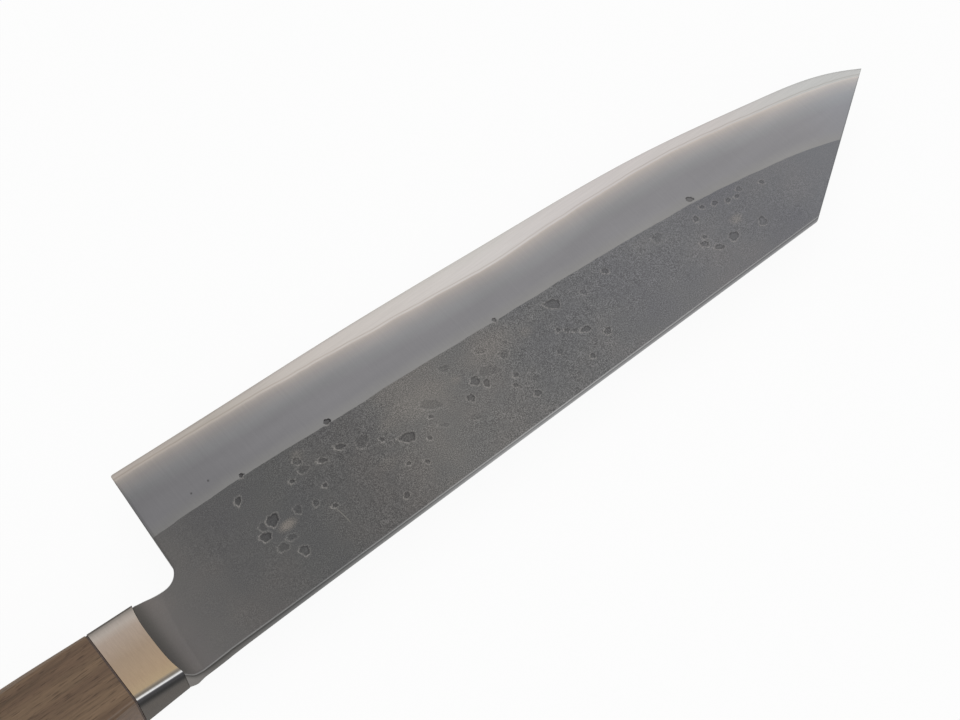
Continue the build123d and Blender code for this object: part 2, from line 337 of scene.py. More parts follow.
# x, y, width, height and kind of the pits that the photo shows; widths lie aslant, by pitForm's slant
leftPits = [
    (59.2, 19.9, 1.6, 1.3, "deep"), (57.7, 13.0, 2.0, 1.3, "deep"), (70.8, 5.2, 3.3, 2.5, "deep"),
    (48.1, 16.2, 1.8, 1.6, "ring"), (48.0, 13.7, 2.2, 1.8, "shallow"), (52.7, 12.7, 1.8, 1.1, "deep"),
    (44.3, 12.9, 0.9, 0.9, "deep"), (32.3, 16.6, 1.3, 1.8, "deep"), (36.5, 21.3, 0.7, 0.7, "deep"),
    (49.4, 7.5, 0.9, 0.9, "deep"), (45.3, 5.3, 1.3, 1.3, "ring"), (48.2, 2.2, 1.1, 0.7, "deep"),
    (41.3, 6.6, 1.8, 1.8, "shallow"), (35.5, 8.0, 2.6, 2.9, "deep"), (32.9, 8.0, 1.8, 1.8, "shallow"),
    (32.0, 5.7, 2.2, 2.2, "deep"), (33.6, 1.3, 2.2, 2.0, "shallow"), (36.4, 2.1, 2.0, 1.3, "shallow"),
    (36.7, -2.2, 2.0, 2.2, "ring"), (62.2, 10.9, 2.7, 3.1, "shallow"), (117.7, 11.0, 3.2, 2.5, "deep"),
    (125.3, 8.9, 1.6, 1.2, "shallow"), (132.7, 10.1, 1.6, 1.2, "deep"), (122.8, -2.5, 1.4, 1.8, "deep"),
    (114.2, 5.0, 0.9, 0.9, "deep"), (115.8, 3.7, 0.7, 0.9, "deep"), (117.2, 2.5, 0.9, 0.7, "deep"),
    (119.3, 1.1, 2.1, 1.4, "deep"), (111.0, 0.5, 1.4, 1.4, "shallow"), (116.0, -5.2, 1.1, 1.1, "deep"),
    (104.6, 16.4, 0.7, 0.7, "deep"), (97.0, 12.1, 2.5, 1.4, "shallow"), (100.7, 8.1, 2.5, 2.0, "shallow"),
    (87.8, 13.7, 2.3, 1.8, "shallow"), (95.3, 6.8, 4.5, 2.7, "shallow"), (91.3, 6.8, 2.3, 2.0, "deep"),
    (93.0, 4.7, 1.4, 1.8, "deep"), (99.4, 2.1, 1.1, 0.7, "deep"), (97.8, 0.1, 0.9, 1.1, "deep"),
    (100.3, -4.6, 1.4, 1.6, "deep"), (87.9, 4.0, 1.6, 1.8, "deep"), (79.8, 8.4, 5.4, 2.2, "shallow"),
    (85.7, -0.4, 2.0, 1.6, "shallow"), (78.0, 6.0, 0.9, 0.9, "deep"), (79.1, 2.4, 2.0, 0.9, "shallow"),
    (74.5, 2.0, 0.7, 0.7, "deep"), (66.0, 8.5, 0.7, 0.7, "deep"), (67.0, 0.0, 0.7, 0.7, "deep"),
    (70.5, -2.3, 1.1, 0.7, "deep"), (61.9, -5.9, 1.3, 1.3, "deep"), (161.0, 12.4, 1.9, 1.2, "deep"),
    (161.7, 8.9, 0.8, 0.8, "deep"), (158.4, 7.3, 1.2, 1.4, "deep"), (164.8, 7.8, 1.2, 1.2, "deep"),
    (167.7, 6.4, 1.0, 1.2, "deep"), (171.8, 7.1, 1.2, 1.2, "ring"), (170.1, 5.9, 0.7, 0.7, "deep"),
    (177.3, 5.1, 1.0, 1.0, "deep"), (170.1, -3.1, 1.9, 2.1, "ring"), (162.1, -1.9, 2.4, 2.1, "deep"),
    (157.5, -2.0, 1.9, 1.4, "deep"), (155.4, 0.8, 1.9, 1.2, "deep"), (156.7, 2.2, 0.7, 0.7, "deep"),
    (147.9, 9.2, 2.4, 2.4, "shallow"), (25.4, 24.8, 0.5, 0.5, "shallow"),
    (30.1, 25.0, 0.5, 0.5, "shallow"),
]
# x, y, width, height and strength of the places that handling has rubbed pale
leftScuffs = [
    (37.4, 5.0, 6.5, 3.6, 1.0), (165.6, 1.3, 5.0, 3.8, 0.5), (49.0, 17.4, 5.0, 4.0, 0.3),
    (88.0, 9.8, 5.0, 4.0, 0.4), (70.0, 10.5, 9.0, 6.0, 0.25), (108.0, 9.5, 6.0, 5.0, 0.3),
    (63.0, 3.0, 8.0, 5.0, 0.25), (79.0, 10.5, 28.0, 12.0, 0.36), (100.0, 11.0, 28.0, 12.0, 0.28),
]
rightScuffs = [(48.0, 6.0, 6.0, 4.0, 0.8), (96.0, 2.0, 7.0, 4.5, 0.4), (140.0, 8.0, 6.0, 4.0, 0.5)]
# How deep a kind of pit is, how dark its oxide floor and the painted shade on its wall are, and how
# pale its lip is, worn and with a painted highlight
pitKinds = {
    "deep": {"depth": 0.14, "floor": 0.30, "wall": 0.72, "lip": 0.55},
    "shallow": {"depth": 0.05, "floor": 0.20, "wall": 0.26, "lip": 0.3},
    "ring": {"depth": 0.09, "floor": 0.12, "wall": 0.60, "lip": 0.45},
}
pitForm = {
    "slant": math.radians(31.7),
    "leastWidth": 1.0,   # of a deep pit
    "leastHeight": 0.9,
    "margin": 0.6,   # how far past its size a pit is looked for
    "outline": [(2, 0.11), (3, 0.09), (5, 0.08), (8, 0.05)],   # waves round it, and their height
    "brink": (0.75, 1.08),   # the bowl rises between these shares of the outline
    "ringMiddle": 0.35,   # depth in the middle of a ring, whose groove is 1
    "ringRise": (0.15, 0.6),
    "depthShare": (0.45, 0.3),   # a pit is that deep, and that much more for each millimetre
    "wall": (0.90, 0.15),   # middle and width, as shares of the outline
    "wallShadeSide": (0.5, -0.6, 0.8, 60),   # the painted wall shade is strongest on this side, as paintedLightSide takes them
    "lip": (0.22, 0.18),   # middle and width, in millimetres from the outline
    # the painted highlight on the lip is strongest on this side
    "lipHighlightSide": (0.4, -0.3, 0.8, -125),
    "bold": ((30, 60, 90, 160), (1.3, 1.1, 0.85, 0.75)),   # by distance from the ferrule
}
# The scratch runs from a pit toward the spine
scratch = {"centre": (23.5, -3.3, 1.55), "radius": 24.9, "middle": (48.2, -0.6, 1.55)}
# The hidden side has pits of its own, in loose clusters as on the side in view
scatter = {
    "seed": 7,
    "clusters": 7,
    "perCluster": 11,
    "x": (30, 175),
    "y": (-4, 12),
    "spread": (9, 4.5),
    "sizes": (0.8, 0.9, 1.2, 1.5, 1.8, 2.4, 3.0),
    "kinds": ("deep", "deep", "shallow", "shallow", "ring"),
    "flatten": (0.65, 1.1),
}


def scatteredPits():
    draw = random.Random(scatter["seed"])
    pits = []
    for _ in range(scatter["clusters"]):
        x0, y0 = draw.uniform(*scatter["x"]), draw.uniform(*scatter["y"])
        for _ in range(scatter["perCluster"]):
            x, y = draw.gauss(x0, scatter["spread"][0]), draw.gauss(y0, scatter["spread"][1])
            size = draw.choice(scatter["sizes"])
            kind = draw.choice(scatter["kinds"])
            if 22 < x < 182 and -8 < y < 17 - x * 0.06:   # clear of ferrule, tip, spine and bevel
                pits.append((x, y, size, size * draw.uniform(*scatter["flatten"]), kind))
    return pits


def bell(value, middle, width):
    return np.exp(-((value - middle) / width) ** 2)


# How strongly a pit's painted wall shade and painted lip highlight show round it: least away from
# the side at that angle in degrees, and 1 on it
def paintedLightSide(around, least, low, high, degrees):
    return between(least, 1, smoothStep(low, high, np.cos(around - math.radians(degrees))))


# Depth of the pits at each place, how dark their oxide floors and the painted shade on their walls
# make it, and how pale their worn lips, with a painted highlight on one side, make it
def pitRelief(x, y, pits, seed):
    draw = random.Random(seed)
    depth, dark, pale = np.zeros_like(x), np.zeros_like(x), np.zeros_like(x)
    cosSlant, sinSlant = math.cos(pitForm["slant"]), math.sin(pitForm["slant"])
    for x0, y0, width, height, kind in pits:
        look = pitKinds[kind]
        phases = [draw.uniform(0, math.tau) for _ in pitForm["outline"]]
        if kind == "deep":
            width, height = max(width, pitForm["leastWidth"]), max(height, pitForm["leastHeight"])
        reach = max(width, height) + pitForm["margin"]
        near = (np.abs(x - x0) < reach) & (np.abs(y - y0) < reach)
        if not near.any():
            continue
        dx, dy = x[near] - x0, y[near] - y0
        across = (dx * cosSlant - dy * sinSlant) * 2 / width
        up = (dx * sinSlant + dy * cosSlant) * 2 / height
        around = np.arctan2(up, across)
        outline = 1
        for (waves, size), phase in zip(pitForm["outline"], phases):
            outline = outline + size * np.sin(waves * around + phase)
        out = np.hypot(across, up) / outline
        bowl = 1 - smoothStep(*pitForm["brink"], out)
        if kind == "ring":
            bowl = bowl * between(pitForm["ringMiddle"], 1, smoothStep(*pitForm["ringRise"], out))
        least, more = pitForm["depthShare"]
        size = min(1.0, least + more * min(width, height))
        # Painted shade on one side of the wall, and a painted highlight on one side of the worn lip
        wall = bell(out, *pitForm["wall"]) * paintedLightSide(around, *pitForm["wallShadeSide"])
        beyond = (out - 1) * min(width, height) / 2
        lip = bell(beyond, *pitForm["lip"]) * paintedLightSide(around, *pitForm["lipHighlightSide"])
        bold = float(np.interp(x0, *pitForm["bold"]))
        tone = np.maximum(bowl * look["floor"], wall * look["wall"])
        depth[near] = np.maximum(depth[near], bowl * look["depth"] * size)
        dark[near] = np.maximum(dark[near], bold * tone)
        pale[near] = np.maximum(pale[near], bold * lip * look["lip"])
    return depth, dark, pale


# How pale the scuffs make each place
def scuffing(x, y, scuffs):
    pale = np.zeros_like(x)
    for x0, y0, width, height, strength in scuffs:
        out = np.hypot((x - x0) * 2 / width, (y - y0) * 2 / height)
        pale = np.maximum(pale, strength * (1 - smoothStep(0.1, 1.0, out)))
    return pale


lattice = {
    "tangColumns": 8,
    "neckColumns": 48,
    "bladeColumns": 456,
    "choilRow": 0.75,   # the choil's curve ends at this share of the flat side
    "ends": (0, 0.0003, 0.0008, 0.0016),   # closer columns at heel and tip
    "halvings": 40,
    "merge": 0.0005,   # points nearer than this become one
    "fineReach": (0.7, 0.3),   # faces are cut finer within that much of a pit's size, and that far more
    "fineCuts": 2,
}


# Share of the way from spine to edge at which each column meets a line
def crossing(start, end, lineAt):
    low, high = np.zeros(len(start)), np.ones(len(start))
    for _ in range(lattice["halvings"]):
        share = (low + high) / 2
        x, y = between(start, end, share[:, None]).T
        past = y > lineAt(x)
        high = np.where(past, share, high)
        low = np.where(past, low, share)
    return (low + high) / 2


# Share of a rounded arris that a quarter turn has crossed
def quarterTurn(share):
    return 1 - math.cos(share * math.pi / 2)


# How far the steel reaches into the ferrule's hollow front
def hollowAt(y):
    return blade["ferruleHollow"] * (1 - abs(y / blade["neckHeight"]) ** 3)


# Places of the lattice's points; rows name a zone (arris, flat, bevel or bare) and a share of it
def latticePlaces(rows):
    ends = np.array(lattice["ends"])
    first, even = 2 * ends[-1], lattice["bladeColumns"] - 2 * len(ends)
    along = np.concatenate([ends, np.linspace(first, 1 - first, even), 1 - ends[::-1]])
    start = np.stack([0 * along, 0 * along + blade["spine"]], 1)
    spineFoot = choilFoot + (blade["spine"] - blade["neckHeight"]) * choilSlope
    start[:, 0] = between(spineFoot, blade["breakReach"], along)
    edgeX = between(edgeLine[0][0], blade["reach"], along)
    end = np.stack([edgeX, edgeAt(edgeX)], 1)
    border = crossing(start, end, bevelAt)
    lamination = crossing(start, end, laminationAt)
    length = np.hypot(*(end - start).T)
    bladePlaces = []
    for zone, share in rows:
        arris = blade["arris"] / length
        if zone == "arris":
            at = arris * quarterTurn(share)
        elif zone == "flat":
            at = between(arris, border, share)
        elif zone == "bevel":
            at = between(border, lamination, share)
        else:
            at = between(lamination, 1, share)
        bladePlaces.append(between(start, end, at[:, None]))
    bladePlaces = np.array(bladePlaces).swapaxes(0, 1)

    # Neck: columns from the ferrule to the choil, whose lower ends follow the choil's curve
    choilRow = rows.index(("flat", lattice["choilRow"]))
    corner = bladePlaces[0, choilRow]
    turn = math.atan2(corner[1] - choilCentre[1], corner[0] - choilCentre[0]) + math.pi / 2
    arc = blade["choilRadius"] * turn
    neckPlaces = []
    count = lattice["neckColumns"]
    for i in range(count):
        share = i / count
        top = Vector((spineFoot * share, 0))
        run = (choilCentre[0] + arc) * share
        if run < choilCentre[0]:
            foot = Vector((run, float(neckFootAt(run))))
        else:
            angle = (run - choilCentre[0]) / blade["choilRadius"] - math.pi / 2
            spoke = Vector((math.cos(angle), math.sin(angle)))
            foot = Vector(choilCentre) + blade["choilRadius"] * spoke
        top.y = float(spineAt(top.x))
        reach = (foot - top).length
        arris = float(arrisAt(top.x, blade["arris"]))
        column = []
        for zone, rowShare in rows[:choilRow + 1]:
            if zone == "arris":
                at = arris / reach * quarterTurn(rowShare)
            else:
                at = arris / reach + (1 - arris / reach) * rowShare / lattice["choilRow"]
            place = top.lerp(foot, at)
            place.x -= max(0, hollowAt(place.y)) * max(0, 1 - 3 * share)
            column.append(place)
        neckPlaces.append(column)

    # Tang, up to the shoulder that it leaves in the neck's back
    tangPlaces = []
    for i in range(lattice["tangColumns"]):
        share = i / (lattice["tangColumns"] - 1)
        half = between(blade["tangEndHeight"], blade["tangHeight"], share)
        column = []
        for row in range(choilRow + 1):
            y = half * (2 * row / choilRow - 1)
            column.append(Vector((-blade["tangReach"] * (1 - share) - hollowAt(y) * share, y)))
        tangPlaces.append(column)
    return tangPlaces, neckPlaces, bladePlaces, choilRow


# Rounds a sheet's corner, whose sides leave it in two directions
def roundCorner(bm, corner, first, second, radius):
    half = first.angle(second) / 2
    centre = corner + (first + second).normalized() * radius / math.sin(half)
    for v in bm.verts:
        inward, out = v.co.xy - corner, v.co.xy - centre
        before = max(inward.dot(first), inward.dot(second))
        if before < radius / math.tan(half) and out.length > radius:
            v.co.xy = centre + out.normalized() * radius


# A sheet over the lattice, with each point's column and row kept in layers
def latticeSheet(rows):
    tang, neck, body, choilRow = latticePlaces(rows)
    narrow = len(tang) + len(neck)
    columns = narrow + len(body)
    bm = bmesh.new()
    columnLayer, rowLayer = [bm.verts.layers.int.new(name) for name in ("column", "row")]
    bmesh.ops.create_grid(bm, x_segments=columns - 1, y_segments=len(rows) - 1, size=1)
    unused = []
    for v in bm.verts:
        i = round((v.co.x + 1) / 2 * (columns - 1))
        j = round((v.co.y + 1) / 2 * (len(rows) - 1))
        v[columnLayer], v[rowLayer] = i, j
        if i >= narrow:
            v.co.x, v.co.y = body[i - narrow][j]
        elif j <= choilRow:
            v.co.x, v.co.y = (tang + neck)[i][j]
        else:
            unused.append(v)
    bmesh.ops.delete(bm, geom=unused, context="VERTS")

    # The spine's break is a rounded corner, and the heel's point is worn to a small round
    spineBreak, heel = Vector((blade["breakReach"], blade["spine"])), Vector(edgeLine[0])
    toTip, toEdge = Vector(edgeLine[-1]) - spineBreak, Vector(edgeLine[1]) - heel
    roundCorner(bm, spineBreak, Vector((-1, 0)), toTip.normalized(), blade["breakRadius"])
    roundCorner(bm, heel, toEdge.normalized(), Vector((-choilSlope, -1)).normalized(), blade["heelRound"])
    return bm


# A wall from a sheet's rim to another height, and that wall's own rim
def boundaryWall(bm, heightAt):
    rim = [e for e in bm.edges if e.is_boundary]
    wall = bmesh.ops.extrude_edge_only(bm, edges=rim)["geom"]
    for v in [g for g in wall if isinstance(g, bmesh.types.BMVert)]:
        v.co.z = heightAt(v.co.x, v.co.y)
    return [g for g in wall if isinstance(g, bmesh.types.BMEdge) and g.is_boundary]


def setHeights(bm, heights):
    for v, z in zip(bm.verts, heights):
        v.co.z = z


# Measures kept on a piece's points, which its finish reads
def keepMeasures(piece, **measures):
    for name, values in measures.items():
        attribute = piece.data.attributes.new(name, "FLOAT", "POINT")
        attribute.data.foreach_set("value", np.asarray(values, np.float32))


# Places of a finished piece's points in the drawing's millimetres
def drawnPlaces(piece):
    co = np.empty(len(piece.data.vertices) * 3)
    piece.data.vertices.foreach_get("co", co)
    return (co.reshape(-1, 3) - np.array(datum)) / mm


# The steel's measures in millimetres, and its pits and scuffs in shares
def keepSteelMeasures(piece, pits, scuffs, seed):
    x, y, z = drawnPlaces(piece).T
    _, dark, pale = pitRelief(x, y, pits, seed)
    below = np.maximum(flatHalf(x, y), neckHalfAt(x)) - z
    keepMeasures(piece, fromFerrule=x, belowFace=below, toSpine=y - spineAt(x), toBorder=bevelAt(x) - y)
    keepMeasures(piece, toLamination=laminationAt(x) - y, scuffed=scuffing(x, y, scuffs))
    keepMeasures(piece, pitDark=dark, pitPale=pale)


# Soft iron as it left the fire: hammered, scale brushed off, then acid-dulled. It gives a dark matt
# grey, smooth and brown beside the ferrule, with a painted shade in the corner right against it,
# and sandy further on, with pits and pale rubbed places.
def forgeSkin():
    material, add, place = newMaterial("soft_iron_forge_skin")
    along = add("MapRange", ["fromFerrule", 0.0, 200.0])
    # The first stops darken the steel within about 2 mm of the ferrule: a painted shade in the corner
    base = add("ValToRGB", [along], {
        0.002: "#5d5a57", 0.012: "#666260", 0.03: "#686564", 0.05: "#646261", 0.11: "#5b5a5a",
        0.20: "#585858", 0.30: "#5b5a5a", 0.38: "#696867", 0.55: "#646465", 0.70: "#6a6a6c",
        0.86: "#6a6a6d", 0.97: "#6f7074",
    })
    clouds = add("TexNoise", {"Vector": place, "Scale": 60.0, "Detail": 3.0})   # 16 mm
    tint = add("ValToRGB", [clouds], {
        0.32: "#ebebed", 0.50: "#f2f2f1", 0.68: "#fbf8f5",
    })
    clouded = add("Mix", {0: 1.0, 6: base, 7: tint}, **multiplied)

    # Sandy grain, in patches, fading towards ferrule and tip
    grain = add("TexNoise", {"Vector": place, "Scale": 4600.0, "Detail": 1.0})   # 0.2 mm
    crumbs = add("TexNoise", {"Vector": place, "Scale": 300.0, "Detail": 1.0})   # 3.3 mm
    salt = add("ValToRGB", [grain], {
        0.34: "#6c6b6c", 0.50: "#bab9b8", 0.66: "#fffefc",
    })
    sanding = add("ValToRGB", [along], {
        0.03: 0.02, 0.11: 0.3, 0.28: 0.6, 0.38: 0.68, 0.55: 0.62, 0.72: 0.5, 0.88: 0.3,
        0.97: 0.18,
    })
    patches = add("MapRange", [crumbs, 0.35, 0.65, 0.5, 0.9])
    strong = add("Math", [sanding, patches], operation="MULTIPLY")
    sandy = add("Mix", {0: strong, 6: clouded, 7: salt}, **overlaid)

    # A painted highlight line along the spine's arris, strongest in the middle of the blade
    onArris = add("MapRange", ["toSpine", 0.12, 0.34, 1.0, 0.0])
    highlightAlong = add("ValToRGB", [along], {
        0.05: 0.36, 0.15: 0.33, 0.30: 0.54, 0.50: 0.87, 0.70: 0.75, 0.88: 0.55,
    })
    highlightShare = add("Math", [onArris, highlightAlong], operation="MULTIPLY")
    arrisHighlighted = add("Mix", {0: highlightShare, 6: sandy, 7: "#aaaaaa"}, **blended)

    # Scuffs, and the lips of pits with their painted highlight, are pale on the tops of the grain
    tops = add("MapRange", [grain, 0.38, 0.62, 0.25, 0.85])
    scuffed = add("Math", ["scuffed", tops], operation="MULTIPLY")
    paled = add("Mix", {0: scuffed, 6: arrisHighlighted, 7: "#8b847c"}, **blended)

    # One long thin scratch, part of a wide circle
    centre, scratchMiddle = [toObject(*scratch[key]) for key in ("centre", "middle")]
    offCentre = add("VectorMath", [place, centre], operation="DISTANCE")
    offLine = add("Math", [offCentre, scratch["radius"] * mm], operation="SUBTRACT")
    gap = add("Math", [offLine], operation="ABSOLUTE")
    line = add("MapRange", [gap, 0.04 * mm, 0.18 * mm, 0.4, 0.0])
    offMiddle = add("VectorMath", [place, scratchMiddle], operation="DISTANCE")
    ends = add("MapRange", [offMiddle, 2.2 * mm, 3.1 * mm, 1.0, 0.0])
    scored = add("Math", [line, ends], operation="MULTIPLY")
    scratched = add("Mix", {0: scored, 6: paled, 7: "#8b8880"}, **blended)

    # pitDark holds the pits' dark oxide floors and the painted shade on their walls; pitPale their worn
    # lips with a painted highlight
    pitted = add("Mix", {0: "pitDark", 6: scratched, 7: "#302f30"}, **blended)
    lips = add("Math", ["pitPale", tops], operation="MULTIPLY")
    lipped = add("Mix", {0: lips, 6: pitted, 7: "#a09c97"}, **blended)
    relief = add("Math", [grain, crumbs], operation="ADD")
    height = add("Math", [relief, sanding], operation="MULTIPLY")
    endMaterial(add, lipped, grain, (0.62, 0.42), (0.25, 0.04), {"Metallic": 0.75}, height)
    return material


# The same soft iron, ground on a wheel and rubbed on water stones: grey and satin, with a painted
# warm reflection that brightens it toward the weld line, where the grind curves, and fine lines across.
def stoneGround():
    material, add, place = newMaterial("soft_iron_stone_ground")
    # A painted reflection: warm and bright beside the weld line, greyer toward the bevel's border
    tone = add("ValToRGB", [add("MapRange", ["toLamination", 0.0, 20.0])], {
        0.000: "#ada59f", 0.010: "#a69f99", 0.03: "#9d9793", 0.055: "#98938f", 0.10: "#908c8b",
        0.15: "#8a8887", 0.21: "#838283", 0.275: "#7e7e7f", 0.375: "#7a797b", 0.90: "#79787a",
    })
    gain = add("ValToRGB", [add("MapRange", ["fromFerrule", 0.0, 220.0])], {
        0.10: "#e0e0e0", 0.36: "#e6e6e6", 0.50: "#e2e2e2", 0.77: "#e6e6e6", 0.89: "#f0f0f0",
        0.95: "#f5f8fb", 1.00: "#f9fcff",
    })
    lit = add("Mix", {0: 1.0, 6: tone, 7: gain}, **multiplied)
    beside = add("MapRange", ["toBorder", -3.2, -0.4, 0.0, 0.35])
    edged = add("Mix", {0: beside, 6: lit, 7: "#797873"}, **blended)
    spread = add("Mapping", {"Vector": place, "Scale": (2600.0, 90.0, 90.0), "Rotation": (0, 0, 0.1)})
    lines = add("TexNoise", {"Vector": spread, "Scale": 1.0, "Detail": 3.0})   # 0.4 mm apart
    spread = add("Mapping", {"Vector": place, "Scale": (45.0, 190.0, 190.0), "Rotation": (0, 0, 0.08)})
    clouds = add("TexNoise", {"Vector": spread, "Scale": 1.0, "Detail": 3.0})   # 20 by 5 mm
    shade = add("MapRange", [lines, 0.3, 0.7, 0.965, 1.035])
    streaked = add("Mix", {0: 1.0, 6: edged, 7: shade}, **multiplied)
    shade = add("MapRange", [clouds, 0.3, 0.7, 0.955, 1.045])
    lined = add("Mix", {0: 1.0, 6: streaked, 7: shade}, **multiplied)
    # Pits: dark oxide floors and painted shade on their walls
    dark = add("MapRange", ["pitDark", 0.0, 0.5])
    pitted = add("Mix", {0: dark, 6: lined, 7: "#2a292a"}, **blended)
    traits = {"Metallic": 1.0, "Anisotropic": 0.4}
    endMaterial(add, pitted, lines, (0.32, 0.42), (0.10, 0.02), traits)
    return material


# Hard carbon steel, polished on finer stones: bright, faintly cream, with hair lines along the edge
# and a thin tan line beside the weld.
def polishedCore():
    material, add, place = newMaterial("carbon_steel_stone_polished")
    tone = add("ValToRGB", [add("MapRange", ["toLamination", 0.0, -5.0])], {
        0.00: "#a49e99", 0.07: "#a8a29d", 0.11: "#9c958f", 0.14: "#9c958f", 0.18: "#a8a29d",
        0.70: "#a8a29d", 1.00: "#a5a09a",
    })
    gain = add("ValToRGB", [add("MapRange", ["fromFerrule", 0.0, 220.0])], {
        0.09: "#f3f0ed", 0.18: "#ecebe8", 0.27: "#f8f8f8", 0.52: "#f7fafe", 0.64: "#f2f4f9",
        0.82: "#eef0f4", 0.93: "#e8f0f5",
    })
    lit = add("Mix", {0: 1.0, 6: tone, 7: gain}, **multiplied)
    spread = add("Mapping", {"Vector": place, "Scale": (120.0, 2600.0, 2600.0), "Rotation": (0, 0, 0.13)})
    lines = add("TexNoise", {"Vector": spread, "Scale": 1.0, "Detail": 3.0})   # 0.4 mm
    shade = add("MapRange", [lines, 0.3, 0.7, 0.94, 1.05])
    lined = add("Mix", {0: 1.0, 6: lit, 7: shade}, **multiplied)
    endMaterial(add, lined, lines, (0.25, 0.38), (0.1, 0.02), {"Metallic": 1.0})
    return material


# Spine, choil and tip face, where all three layers were filed flush and rubbed by hands: plain grey,
# darker near the handle, with a painted highlight on the upper arris, a painted dark reflection band
# below it and lighter further down.
def rubbedSpine():
    material, add, place = newMaterial("spine_filed_and_rubbed")
    base = add("ValToRGB", [add("MapRange", ["fromFerrule", 0.0, 200.0])], {
        0.0: "#a09c98", 0.015: "#9a9692", 0.03: "#86837f", 0.15: "#9a9a99", 0.30: "#bbbbba",
        0.42: "#d8d8d8", 0.70: "#cececf", 0.88: "#c8c8ca",
    })
    # Painted highlight and reflection bands across the spine, from the upper arris down
    bands = add("ValToRGB", [add("MapRange", ["belowFace", 0.0, 3.4])], {
        0.03: "#dddddd", 0.10: "#8b8b8b", 0.22: "#8b8b8b", 0.36: "#adadad", 0.62: "#c8c8c8",
        0.85: "#d6d6d6",
    })
    reflectionBanded = add("Mix", {0: 1.0, 6: base, 7: bands}, **multiplied)
    spread = add("Mapping", {"Vector": place, "Scale": (90.0, 1800.0, 2600.0)})
    lines = add("TexNoise", {"Vector": spread, "Scale": 1.0, "Detail": 2.0})   # 0.5 mm
    traits = {"Metallic": 1.0, "Specular Tint": "#cccccc"}
    endMaterial(add, reflectionBanded, lines, (0.36, 0.50), (0.1, 0.02), traits)
    return material


claddingRows = [("arris", k / 4) for k in range(4)]
claddingRows += [("flat", k / 80) for k in range(81)]
claddingRows += [("bevel", k / 40) for k in range(1, 41)]
coreRows = [("arris", 0.0)] + [("flat", k / 8) for k in range(1, 9)]
coreRows += [("bevel", k / 3) for k in range(1, 4)] + [("bare", k / 12) for k in range(13)]
claddings = {
    "left_cladding": {
        "node": "cladding_left", "side": 1, "pits": leftPits, "scuffs": leftScuffs, "seed": 31,
    },
    "right_cladding": {
        "node": "cladding_right", "side": -1, "pits": scatteredPits(), "scuffs": rightScuffs, "seed": 57,
    },
}
# Height in millimetres, size and seed step of the hammer's marks, and where they fade out
hammerMarks = [(0.035, 11.0, 0), (0.015, 4.0, 5)]
hammerFade = {"spine": (0.3, 2.5), "neck": (9, 14), "bevel": (0.0, 2.5)}
claddingFinishes = [forgeSkin(), stoneGround(), rubbedSpine()]


# The drawn x and y of a sheet's points, and of the middles of its faces
def pointPlaces(bm):
    return np.array([v.co[:2] for v in bm.verts]).T


def facePlaces(bm):
    return np.array([f.calc_center_median()[:2] for f in bm.faces]).T


def claddingPiece(name, node, side, pits, scuffs, seed):
    bm = latticeSheet(claddingRows)
    columnLayer = bm.verts.layers.int["column"]

    # Finer faces where the pits are
    faces, (x, y) = list(bm.faces), facePlaces(bm)
    sizeShare, margin = lattice["fineReach"]
    hit = set()
    for x0, y0, width, height, _ in pits:
        out = np.hypot(x - x0, y - y0) / (max(width, height) * sizeShare + margin)
        hit.update(np.nonzero(out < 1)[0])
    edges = {e for i in hit for e in faces[i].edges}
    bmesh.ops.subdivide_edges(bm, edges=list(edges), cuts=lattice["fineCuts"], use_grid_fill=True)

    x, y = pointPlaces(bm)
    border = bevelAt(x)
    depth, _, _ = pitRelief(x, y, pits, seed)
    inland = smoothStep(*hammerFade["spine"], y - spineAt(x)) * smoothStep(*hammerFade["neck"], x)
    inland = inland * smoothStep(*hammerFade["bevel"], np.abs(border - y)) * (y < border)
    hammered = sum(height * lumps(x, y, size, seed + step) for height, size, step in hammerMarks)
    onTang = np.array([v[columnLayer] < lattice["tangColumns"] for v in bm.verts])
    half = steelHalf(x, y) - depth + hammered * inland
    setHeights(bm, np.where(onTang, blade["tangHalf"], half))
    inner = boundaryWall(bm, lambda x, y: planeAt(corePlane, x, y))
    bmesh.ops.triangle_fill(bm, edges=inner, use_beauty=True, use_dissolve=False)

    # Forge skin above the bevel, the ground steel on it, and the filed finish on what stands upright
    x, y = facePlaces(bm)
    ground = (y > bevelAt(x)) & (x > blade["bevelStart"])
    bm.normal_update()
    for f, isGround in zip(bm.faces, ground):
        f.material_index = 2 if abs(f.normal.z) < 0.5 else int(isGround)
    if side < 0:
        bmesh.ops.scale(bm, vec=(1, 1, -1), verts=bm.verts)
    bmesh.ops.remove_doubles(bm, verts=bm.verts, dist=lattice["merge"])
    piece = finishPiece(bm, name, [node], claddingFinishes)
    keepSteelMeasures(piece, pits, scuffs, seed)


for name, cladding in claddings.items():
    claddingPiece(name, **cladding)


def corePiece():
    bm = latticeSheet(coreRows)
    rowLayer = bm.verts.layers.int["row"]
    step = coreRows.index(("bare", 0.0))
    x, y = pointPlaces(bm)
    row = np.array([v[rowLayer] for v in bm.verts])
    setHeights(bm, np.where(row >= step, steelHalf(x, y), planeAt(corePlane, x, y)))
    boundaryWall(bm, lambda x, y: 0.0)
    x, y = facePlaces(bm)
    for f, covered in zip(bm.faces, y < laminationAt(x)):
        f.material_index = int(covered)
    everything = list(bm.verts) + list(bm.edges) + list(bm.faces)
    bmesh.ops.mirror(bm, geom=everything, axis="Z", merge_dist=lattice["merge"])
    bmesh.ops.remove_doubles(bm, verts=bm.verts, dist=lattice["merge"])
    finishes = [polishedCore(), claddingFinishes[2]]
    keepSteelMeasures(finishPiece(bm, "core", ["core_steel"], finishes), [], [], 0)


corePiece()

